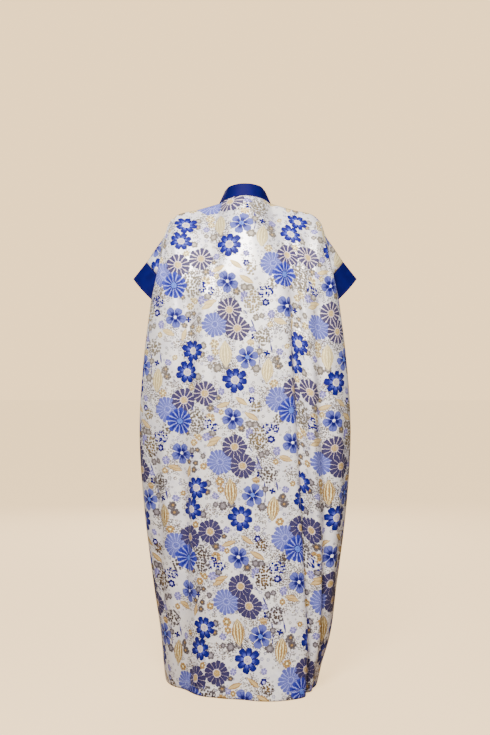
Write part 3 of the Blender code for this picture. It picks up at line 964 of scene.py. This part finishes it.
# How the flowers are drawn. A scale or a number of dots is for one metre of cloth. The rest are
# shares of a motif's size, of a petal's width or of a full colour, or turn an angle into waves.
WANDER_SCALE = 190.0
WANDER = 0.10
PETAL_LENGTH = 0.970
PETAL_UNEVENNESS = 0.058
PETAL_UNEVEN_TURN = 2.3
TIP_DIMPLE = 0.016
TIP_DIMPLE_TURNS = 4.0
THINNEST_LEAF = 0.0001
PETAL_BLEND = (0.42, 0.72)
PETAL_BLEND_SCALE = 260.0
PETAL_BLEND_UNEVENNESS = 0.10
RAGGED_SCALE = 520.0
RAGGED_LINE = 0.07
RAGGED_REACH = (0.8, 0.4)
LEAF_VEINS = 2.5
LEAF_VEIN_SCALE = 150.0
LEAF_VEIN_UNEVENNESS = 0.55
BEADS = 430.0
BEAD_GAP = 0.70
RING_WIDTH = 0.05
SPRAY_DOTS = 128.0
SPRAY_SCATTER = 0.8
SPRAY_DOT_SIZE = 0.46

# Painted light on the metal thread. A painted glint pales it more toward the shoulders, from and to
# these heights above the start of the pattern, and in patches. Where no glint is painted, as painted
# shade, metal thread loses most of its outlines and streaks.
PAINTED_LIT_FROM = -0.26
PAINTED_LIT_TO = 0.34
PAINTED_LIT_MOST = 0.8
PAINTED_LIT_PATCH_SCALE = 4.0
PAINTED_LIT_PATCHES = 0.30
LEAST_GLINT = 0.01
PAINTED_MIDDLE_GLINT = 0.15
PAINTED_SHADE_LINE_LOSS = 0.94
PAINTED_SHADE_STREAK_LOSS = 0.2

# The ground between the motifs: white with silver patches, and strewn with spots, which are small
# open florets in five colours, and with clustered flecks of tan and grey.
GROUND_SCALE = 24.0
GROUND_BLEND = (0.38, 0.66)
SPOTS = 58.0
SPOT_SCATTER = 0.9
SPOT_THREADS = (
    ((0.0, "grey"), (0.30, "lavender"), (0.54, "dark tan")) + ((0.74, "brown"), (0.94, "royal"))
)
SPOT_SIZE = (0.17, 0.23)
SPOT_PETALS = 6.0
SPOT_NOTCH = 0.24
SPOT_EYE = 0.34
SPOTS_LEFT_OUT = 0.28
SPOT_COVER = 0.80
FLECKS = 205.0
FLECK_SIZE = 0.40
FLECK_OWN_SHARE = 0.6
FLECK_CLUSTER_SCALE = 11.0
FLECK_CLUSTERING = 3.2
FLECKS_LEFT_OUT = 0.48
FLECKS_OF_TAN = 0.45
FLECK_COVER = 0.92

# The weave itself: threads that run along the cloth, and a fine twill. The flowers stand up from the
# ground, are a little rougher, and shine only as far as they hold metal thread.
THREAD_SCALE = 620.0
THREAD_STRETCH = (1.0, 0.16, 1.0)
THREAD_SHADE = 0.32
TWILL_SCALE = 420.0
TWILL_DISTORTION = 1.5
TWILL_RELIEF = 0.25
THREAD_RELIEF = 0.5
FLOWER_RELIEF = 0.8
GROUND_ROUGHNESS = 0.38
FLOWER_ROUGHNESS = 0.50
THREAD_ROUGHNESS = 0.10
GROUND_METAL = 0.40
FLOWER_METAL = 0.7


def thread_colour(name):
    return (*THREADS[name], 1.0)


def brocade_material():
    """White satin ground with the flowers woven in, from the panel's own flat coordinates."""
    made, loom = blank_material("white and blue brocade")
    kinds = [dict(zip(KIND_COLUMNS, row[1:])) for row in KINDS]
    step = 1.0 / len(kinds)
    cloth = loom.attribute("cloth")
    wander = cloth.noise(WANDER_SCALE, detail=1.0, outlet="Color")
    wander = wander.vector_maths("SUBTRACT", (0.5, 0.5, 0.5))
    wander = wander.vector_maths("MULTIPLY", (WANDER, WANDER, 0.0))

    def by_kind(style, value_of):
        """What value_of gives for the kind of motif with this number."""
        stops = [(number * step, value_of(kind)) for number, kind in enumerate(kinds)]
        return ((style + 0.5) * step).steps(stops)

    def outline_of(kind):
        petals = kind["petals"]
        return petals / MOST_PETALS, kind["notch"], kind["blunt"], float(petals == 0)

    def parts_of(place, style):
        """Where this place lies in its motif: 0 at the middle and 1 on the edge, and in its petal."""
        x = place.axis("X")
        y = x.outlet("Y")
        form = by_kind(style, outline_of)
        numbers = form.red()
        petals = numbers * MOST_PETALS
        notch, blunt, is_leaf = numbers.outlet("Green"), numbers.outlet("Blue"), form.outlet("Alpha")
        radius = loom.maths("SQRT", x * x + y * y)
        turned = loom.maths("ARCTAN2", y, x) * petals * 0.5
        lobe = abs(loom.maths("COSINE", turned))
        petal = loom.maths("FLOOR", turned / math.pi + 0.5)
        sway = loom.maths("SINE", petal * PETAL_UNEVEN_TURN + style)
        dimple = 1.0 - TIP_DIMPLE * loom.maths("COSINE", turned * TIP_DIMPLE_TURNS)
        edge = (PETAL_LENGTH + PETAL_UNEVENNESS * sway) * dimple * (1.0 - notch * (1.0 - lobe**blunt))
        leaf = abs(y) / loom.maths("MAXIMUM", notch * (1.0 - x * x), THINNEST_LEAF)
        run = is_leaf.between(radius / edge, leaf)
        return run, turned, lobe, radius, run * loom.maths("SIGN", y), is_leaf

    chosen = loom.node("ShaderNodeCombineXYZ", {}, enumerate(OFF_MOTIF))
    for layer in range(MOTIF_LAYERS):
        motif = loom.attribute(f"motif_{layer}")
        style = motif.axis("Z")
        place = motif.vector_maths("ADD", wander)
        run = parts_of(place, style)[0]
        chosen = ((run < 1.0) * (style > 0.5)).vectors(chosen, place)
    style = chosen.axis("Z")
    run, turned, lobe, radius, side, is_leaf = parts_of(chosen, style)
    line_detail = by_kind(
        style, lambda kind: (kind["core"], kind["outline"], kind["dotted"], kind["glint"])
    )
    streak_detail = by_kind(
        style, lambda kind: (kind["streaks"] / MOST_STREAKS, kind["fine"], kind["reach"], 1.0)
    )
    core = line_detail.red()
    outline, dotted, glint = core.outlet("Green"), core.outlet("Blue"), line_detail.outlet("Alpha")
    streaks = streak_detail.red()
    fine, reach = streaks.outlet("Green"), streaks.outlet("Blue")
    hue = {
        part: by_kind(style, lambda kind, part=part: thread_colour(kind[part]))
        for part in ("inner", "tip", "line", "streak", "middle", "ring")
    }

    # Painted glint and painted shade on metal thread: paler higher up the cloth and in patches, and
    # lower down its outlines thinned so its flowers read darker.
    patches = PAINTED_LIT_PATCHES * cloth.noise(PAINTED_LIT_PATCH_SCALE)
    painted_lit = PAINTED_LIT_MOST * (cloth.axis("Y") + patches).eased(PAINTED_LIT_FROM, PAINTED_LIT_TO)
    shiny = glint > LEAST_GLINT
    painted_shade = shiny * (1.0 - is_leaf) * (1.0 - painted_lit)
    outline = outline * (1.0 - PAINTED_SHADE_LINE_LOSS * painted_shade)

    blend = run + PETAL_BLEND_UNEVENNESS * cloth.noise(PETAL_BLEND_SCALE, detail=1.0)
    petal = blend.eased(*PETAL_BLEND).colours(hue["inner"], hue["tip"])
    ragged = cloth.noise(RAGGED_SCALE, detail=1.0)
    vein_sway = LEAF_VEIN_UNEVENNESS * cloth.noise(LEAF_VEIN_SCALE, detail=1.0)
    across_petal = is_leaf.between(turned * 2.0, side * LEAF_VEINS + vein_sway)
    stripe = abs(loom.maths("COSINE", across_petal * streaks * MOST_STREAKS * 0.5))
    streak_end = reach * (RAGGED_REACH[0] + RAGGED_REACH[1] * ragged)
    # Painted shade also thins the metal thread's streaks lower down.
    streak = (stripe > fine + PAINTED_SHADE_STREAK_LOSS * painted_shade) * (run < streak_end)
    petal = streak.colours(petal, hue["streak"])
    gap = loom.maths("ARCCOSINE", lobe) / (math.pi / 2)
    edge_line = is_leaf.between((gap + RAGGED_LINE * ragged) > 1.0 - outline, run > 1.0 - outline)
    petal = edge_line.colours(petal, hue["line"])
    middle = (cloth.dots(BEADS) > BEAD_GAP).colours(hue["middle"], hue["streak"])
    petal = (radius < core).colours(petal, middle)
    ring = (radius > core) * (radius < core + RING_WIDTH) * (core > 0.01)
    petal = ring.colours(petal, hue["ring"])
    # Painted glint: metal thread, its middles most, is mixed toward cream higher up the cloth.
    glint = glint + PAINTED_MIDDLE_GLINT * shiny * (radius < core)
    petal = (glint * painted_lit).colours(petal, thread_colour("cream"))
    spray = cloth.dots(SPRAY_DOTS, SPRAY_SCATTER) < SPRAY_DOT_SIZE
    inside = (run < 1.0) * (style > 0.5) * loom.maths("MAXIMUM", 1.0 - dotted, spray)

    ground = cloth.noise(GROUND_SCALE, detail=4.0).eased(*GROUND_BLEND)
    ground = ground.colours(thread_colour("white"), thread_colour("silver"))

    cells = cloth.dots(SPOTS, SPOT_SCATTER)
    pick = cells.outlet("Color").red()
    spot_hue = pick.steps([(at, thread_colour(thread)) for at, thread in SPOT_THREADS])
    spot_x = cloth.vector_maths("SUBTRACT", cells.outlet("Position")).axis("X")
    spot_angle = loom.maths("ARCTAN2", spot_x.outlet("Y"), spot_x)
    spot_size = SPOT_SIZE[0] + SPOT_SIZE[1] * pick.outlet("Green")
    spot_lobes = SPOT_NOTCH * loom.maths("COSINE", spot_angle * SPOT_PETALS)
    spot = (cells < spot_size * (1.0 - SPOT_NOTCH + spot_lobes)) * (cells > spot_size * SPOT_EYE)
    spot = spot * (pick.outlet("Blue") > SPOTS_LEFT_OUT)
    ground = (spot * SPOT_COVER).colours(ground, spot_hue)

    flecks = cloth.dots(FLECKS)
    fleck_pick = flecks.outlet("Color").red()
    cluster = (cloth.noise(FLECK_CLUSTER_SCALE) - 0.5) * FLECK_CLUSTERING
    fleck = (flecks < FLECK_SIZE) * (fleck_pick * FLECK_OWN_SHARE + cluster > FLECKS_LEFT_OUT)
    is_grey = fleck_pick.outlet("Green") > FLECKS_OF_TAN
    fleck_hue = is_grey.colours(thread_colour("dark tan"), thread_colour("grey"))
    ground = (fleck * FLECK_COVER).colours(ground, fleck_hue)

    threads = cloth.vector_maths("MULTIPLY", THREAD_STRETCH).noise(THREAD_SCALE)
    shade = 1.0 - THREAD_SHADE / 2 + THREAD_SHADE * threads
    shades = loom.node("ShaderNodeCombineXYZ", {}, {0: shade, 1: shade, 2: shade})
    settings = {"data_type": "RGBA", "blend_type": "MULTIPLY"}
    sockets = {0: 1.0, 6: inside.colours(ground, petal), 7: shades}
    colour = loom.node("ShaderNodeMix", settings, sockets, 2)

    twill = cloth.twill(TWILL_SCALE, TWILL_DISTORTION, detail=1.0)
    raised = inside * (1.0 - edge_line)
    relief = twill * TWILL_RELIEF + threads * THREAD_RELIEF + raised * FLOWER_RELIEF
    roughness = inside.between(GROUND_ROUGHNESS, FLOWER_ROUGHNESS) + THREAD_ROUGHNESS * threads
    looks = {
        "Base Color": colour,
        "Normal": relief.bump(strength=0.35, distance=0.0006),
        "Roughness": roughness,
        "Metallic": inside.between(GROUND_METAL, glint * FLOWER_METAL),
        "Sheen Weight": 0.05,
        "Sheen Roughness": 0.4,
        "Specular IOR Level": 0.12,
    }
    return finished_material(made, looks)


BROCADE = brocade_material()

REVERSE_WHITE = (0.62, 0.60, 0.62, 1.0)
REVERSE_BLUE = (0.16, 0.17, 0.40, 1.0)
FLOAT_STRETCH = (1.0, 9.0, 1.0)


def reverse_material():
    """The wrong side of the brocade: dull white, with loose blue threads behind the flowers."""
    made, loom = blank_material("brocade reverse")
    cloth = loom.attribute("cloth")
    floats = cloth.vector_maths("MULTIPLY", FLOAT_STRETCH).noise(60.0, detail=3.0)
    loose = floats * 0.7 + cloth.noise(16.0) * 0.5
    looks = {
        "Base Color": loose.eased(0.58, 0.74).colours(REVERSE_WHITE, REVERSE_BLUE),
        "Normal": floats.bump(strength=0.4, distance=0.0005),
        "Roughness": 0.75,
        "Specular IOR Level": 0.15,
    }
    return finished_material(made, looks)


BROCADE_REVERSE = reverse_material()


# The stitches: one short thread after another along a line. Its sizes are the tree's inputs.
THREAD_ABOVE = 0.0001
STITCH_SIZES = {"Step": 0.0036, "Length": 0.0026, "Thickness": 0.0006}


def stitch_tree():
    """Geometry nodes that lay a short thread at every step along each line."""
    tree = bpy.data.node_groups.new("stitches", "GeometryNodeTree")
    tree.interface.new_socket("Lines", in_out="INPUT", socket_type="NodeSocketGeometry")
    for name in STITCH_SIZES:
        tree.interface.new_socket(name, in_out="INPUT", socket_type="NodeSocketFloat")
    tree.interface.new_socket("Thread", in_out="INPUT", socket_type="NodeSocketMaterial")
    tree.interface.new_socket("Stitches", in_out="OUTPUT", socket_type="NodeSocketGeometry")
    given = Thread(tree).node("NodeGroupInput", outlet="Lines")
    size = {name: given.outlet(name) for name in STITCH_SIZES}
    curve = given.node("GeometryNodeMeshToCurve", {}, {"Mesh": given})
    places = {"Curve": curve, "Length": size["Step"]}
    points = given.node("GeometryNodeCurveToPoints", {"mode": "LENGTH"}, places)
    grain = given.node("GeometryNodeMeshUVSphere", {}, {"Segments": 6, "Rings": 4, "Radius": 0.5})
    widths = {0: size["Thickness"], 1: size["Thickness"], 2: size["Length"]}
    form = given.node("ShaderNodeCombineXYZ", {}, widths)
    turned = points.outlet("Rotation")
    sockets = {"Points": points, "Instance": grain, "Rotation": turned, "Scale": form}
    laid = given.node("GeometryNodeInstanceOnPoints", {}, sockets)
    real = given.node("GeometryNodeRealizeInstances", {}, {"Geometry": laid})
    dyed = {"Geometry": real, "Material": given.outlet("Thread")}
    done = given.node("GeometryNodeSetMaterial", {}, dyed)
    tree.links.new(done.socket, tree.nodes.new("NodeGroupOutput").inputs["Stitches"])
    return tree


STITCHES = stitch_tree()


def thread_material(name, deep, bright):
    """A twisted sewing thread."""
    made, loom = blank_material(name)
    place = loom.node("ShaderNodeTexCoord", {}, {}, "Object")
    twist = place.noise(900.0, detail=1.0, dimensions="3D")
    looks = {
        "Base Color": twist.colours(deep, bright),
        "Roughness": 0.6,
        "Specular IOR Level": 0.2,
    }
    return finished_material(made, looks)


def stitched(name, lines, thread, closed):
    """Rows of stitches along these lines, as one plain mesh."""
    points, edges = [], []
    for line in lines:
        first = len(points)
        points += line.tolist()
        edges += [(number, number + 1) for number in range(first, len(points) - 1)]
        if closed:
            edges.append((len(points) - 1, first))
    drawn = bpy.data.meshes.new(name + " line")
    drawn.from_pydata(points, edges, [])
    holder = bpy.data.objects.new(name + " line", drawn)
    bpy.context.collection.objects.link(holder)
    sewing = holder.modifiers.new("stitches", "NODES")
    sewing.node_group = STITCHES
    values = {**STITCH_SIZES, "Thread": thread}
    for item in STITCHES.interface.items_tree:
        if item.in_out == "INPUT" and item.name in values:
            sewing[item.identifier] = values[item.name]
    seen = holder.evaluated_get(bpy.context.evaluated_depsgraph_get())
    piece = bpy.data.objects.new(name, bpy.data.meshes.new_from_object(seen))
    piece.data.shade_smooth()
    bpy.data.objects.remove(holder)
    bpy.context.collection.objects.link(piece)
    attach(piece, "root")


WHITE_DEEP = (0.62, 0.60, 0.62, 1.0)
WHITE_BRIGHT = (0.80, 0.78, 0.80, 1.0)
WHITE_THREAD = thread_material("white sewing thread", WHITE_DEEP, WHITE_BRIGHT)


def panel_piece(name, panel, node):
    """One brocade panel, creased, thickened and dressed, in place of its solid."""
    form = panel_form(panel)
    across, up = cloth_places(form)
    cloth = turned_edges(creased(form, panel, across), panel)
    across = np.pad(across, ((HEM_ROWS + 1, 1), (1, 1)), "edge")
    up = np.pad(up, ((HEM_ROWS + 1, 1), (1, 1)), "edge")
    up[: HEM_ROWS + 1] -= np.arange(HEM_ROWS + 1, 0, -1)[:, None] * UNDERARM_HEIGHT / TUBE_ROWS
    across[:, 0] -= SEAM_ALLOWANCE
    across[:, -1] += SEAM_ALLOWANCE
    up[-1] += SEAM_ALLOWANCE
    mesh = grid_mesh(name, cloth)
    woven_attributes(mesh, panel, across, up)
    if panel == "back":
        mesh.flip_normals()
    mesh.materials.append(BROCADE)
    mesh.materials.append(BROCADE_REVERSE)
    piece = bpy.data.objects.new(name, mesh)
    bpy.context.collection.objects.link(piece)
    wall = piece.modifiers.new("wall", "SOLIDIFY")
    wall.thickness = CLOTH
    wall.offset = 0.0
    wall.material_offset = 1
    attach(piece, "root")
    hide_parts(node)
    stitched_row = 2 * (HEM_ROWS + 1)
    outside = outward_normals(cloth, panel)[stitched_row, 2:-2] * (CLOTH / 2 + THREAD_ABOVE)
    return piece, cloth[stitched_row, 2:-2] + outside


back_cloth, back_hem = panel_piece("back_panel_cloth", "back", "back_panel")


# The front panel: the same brocade, cut in one with the front half of both sleeves, with a deep V
# neckline. It is sewn to the back panel, and hangs in a few soft folds.

front_cloth, front_hem = panel_piece("front_panel_cloth", "front", "front_panel")

# Both hems are turned up inside and sewn with one row of white stitches.
stitched("hem_stitches", [back_hem, front_hem], WHITE_THREAD, closed=False)


# The neck band: plain royal satin, folded double, sewn round the neckline from the nape to the
# point of the V. It stands up at the nape, and its free edge is folded softly.

BAND_CLOTH = 0.0024
BAND_SETBACK = 0.0004
NECK_BAND_COLUMNS = ("share", "inward", "forward", "up", "width")
NECK_BAND = (
    (0.00, 0.00, 0.25, 0.97, 0.040),
    (0.36, 0.46, 0.00, 0.88, 0.045),
    (0.70, 0.62, -0.25, 0.55, 0.050),
    (1.00, 0.00, -0.20, 1.15, 0.0625),
)
NECK_BAND_STEPS = 288
BAND_ROWS = 14
BAND_FOLD = 0.0010
BAND_FOLD_STEPS = 3
BAND_FOLD_ANGLE = math.radians(50)


def satin_material(name, deep, bright):
    """Royal satin: a close smooth weave with a low broad shine, a little lighter in patches."""
    made, loom = blank_material(name)
    place = loom.node("ShaderNodeTexCoord", {}, {}, "Object")
    cloudy = place.noise(34.0, detail=3.0, dimensions="3D")
    pucker = place.noise(60.0, dimensions="3D")
    relief = place.twill(900.0, distortion=2.0) * 0.2 + pucker * 1.2
    looks = {
        "Base Color": cloudy.eased(0.3, 0.7).colours(deep, bright),
        "Normal": relief.bump(strength=0.25, distance=0.001),
        "Roughness": cloudy.eased(0.2, 0.8).between(0.60, 0.68),
        "Specular IOR Level": 0.06,
    }
    return finished_material(made, looks)


SATIN_DEEP = (0.0022, 0.0012, 0.052, 1.0)
SATIN_BRIGHT = (0.0028, 0.0018, 0.070, 1.0)
ROYAL_SATIN = satin_material("royal blue satin", SATIN_DEEP, SATIN_BRIGHT)


def neck_band_rings():
    """The rings of the neck band, from its seam with the panels to its free edge."""
    back = smooth_line(NAPE_LINE)
    front = smooth_line(FRONT_NECK_LINE)
    left = np.vstack([back, front[-2::-1]])
    loop = np.vstack([left, left[-2::-1] * (-1, 1, 1)])
    loop = spread(loop, np.linspace(0, 1, NECK_BAND_STEPS + 1))
    share = (loop[:, 1] - NAPE_LINE[0][1]) / (FRONT_NECK_LINE[0][1] - NAPE_LINE[0][1])
    named = dict(zip(NECK_BAND_COLUMNS, zip(*NECK_BAND)))
    inward, forward, up, width = (
        curve_value(share, named["share"], named[column]) for column in NECK_BAND_COLUMNS[1:]
    )
    direction = np.column_stack([-inward * np.sign(loop[:, 0]), -forward, up])
    rings = []
    for step in np.linspace(0, 1, BAND_ROWS + 1):
        out = BAND_SETBACK + (width - BAND_SETBACK) * step
        rings.append(loop + direction * out[:, None])
    return np.array(rings)


def band_piece(name, rings, node):
    """A closed band of doubled satin with a soft folded edge, in place of its solid."""
    grid = np.array(rings)
    grid[..., 2] -= NECK_HEIGHT
    rows, columns = grid.shape[0], grid.shape[1] - 1
    grid = grid[:, :-1]
    number = np.arange(rows * columns).reshape(rows, columns)
    onward = np.roll(number, -1, axis=1)
    faces = np.stack([number[:-1], onward[:-1], onward[1:], number[1:]], axis=-1).reshape(-1, 4)
    mesh = bpy.data.meshes.new(name)
    mesh.from_pydata(grid.reshape(-1, 3).tolist(), [], faces.tolist())
    first = mesh.polygons[0]
    mesh.update()
    outward = np.array(first.center) - grid.reshape(-1, 3).mean(axis=0)
    if np.dot(outward, first.normal) < 0:
        mesh.flip_normals()
    mesh.shade_smooth()
    mesh.materials.append(ROYAL_SATIN)
    piece = bpy.data.objects.new(name, mesh)
    bpy.context.collection.objects.link(piece)
    wall = piece.modifiers.new("wall", "SOLIDIFY")
    wall.thickness = BAND_CLOTH
    wall.offset = 0.0
    fold = piece.modifiers.new("folded edge", "BEVEL")
    fold.width = BAND_FOLD
    fold.segments = BAND_FOLD_STEPS
    fold.angle_limit = BAND_FOLD_ANGLE
    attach(piece, "root")
    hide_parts(node)
    return piece


BLUE_DEEP = (0.004, 0.003, 0.080, 1.0)
BLUE_BRIGHT = (0.010, 0.012, 0.190, 1.0)
BLUE_THREAD = thread_material("royal sewing thread", BLUE_DEEP, BLUE_BRIGHT)
STITCHED_RINGS = (1, -2)


def band_stitch_lines(rings):
    """The lines of top stitching on a band's outer side: by its seam and by its folded edge."""
    grid = np.array(rings)[:, :-1]
    grid[..., 2] -= NECK_HEIGHT
    onward = np.roll(grid, -1, axis=1) - np.roll(grid, 1, axis=1)
    normal = np.cross(onward, np.gradient(grid, axis=0))
    normal /= np.linalg.norm(normal, axis=2)[..., None]
    if np.mean(np.sum(normal * (grid - grid.mean(axis=(0, 1))), axis=2)) < 0:
        normal = -normal
    raised = grid + normal * (BAND_CLOTH / 2 + THREAD_ABOVE)
    return [raised[ring] for ring in STITCHED_RINGS]


band_rings = neck_band_rings()
band_lines = band_stitch_lines(band_rings)
neck_band = band_piece("neck_band_satin", band_rings, "neck_band")
stitched("neck_band_stitches", band_lines, BLUE_THREAD, closed=True)


# The cuff bands: plain royal satin, folded double, each a ring sewn round the end of one sleeve.
# Each has a row of top stitching beside its seam and another beside its folded edge.

CUFF_WIDTH = 0.069
CUFF_FOOT = 0.03
CUFF_STEPS = 60


def cuff_rings(hand):
    """The rings of a cuff band, from its seam with the sleeve to its open end."""
    underarm, top, _, across = SLEEVE_END
    share = np.linspace(CUFF_FOOT, 1, CUFF_STEPS + 1)[:, None]
    middle = underarm + (top - underarm) * share
    opening = across * SLEEVE_HALF_OPENING * 4 * (share - CUFF_FOOT) * (1 - share)
    loop = np.vstack([middle + opening, (middle - opening)[-2::-1]])
    direction = unit(CUFF_DIRECTION)
    steps = np.linspace(0, 1, BAND_ROWS + 1)
    rings = [loop + direction * (BAND_SETBACK + (CUFF_WIDTH - BAND_SETBACK) * step) for step in steps]
    return np.array(rings) * (hand, 1, 1)


for side_name, hand in (("left", 1.0), ("right", -1.0)):
    rings = cuff_rings(hand)
    lines = band_stitch_lines(rings)
    cuff = band_piece(f"cuff_{side_name}_satin", rings, f"cuff_band_{side_name}")
    stitched(f"cuff_{side_name}_stitches", lines, BLUE_THREAD, closed=True)
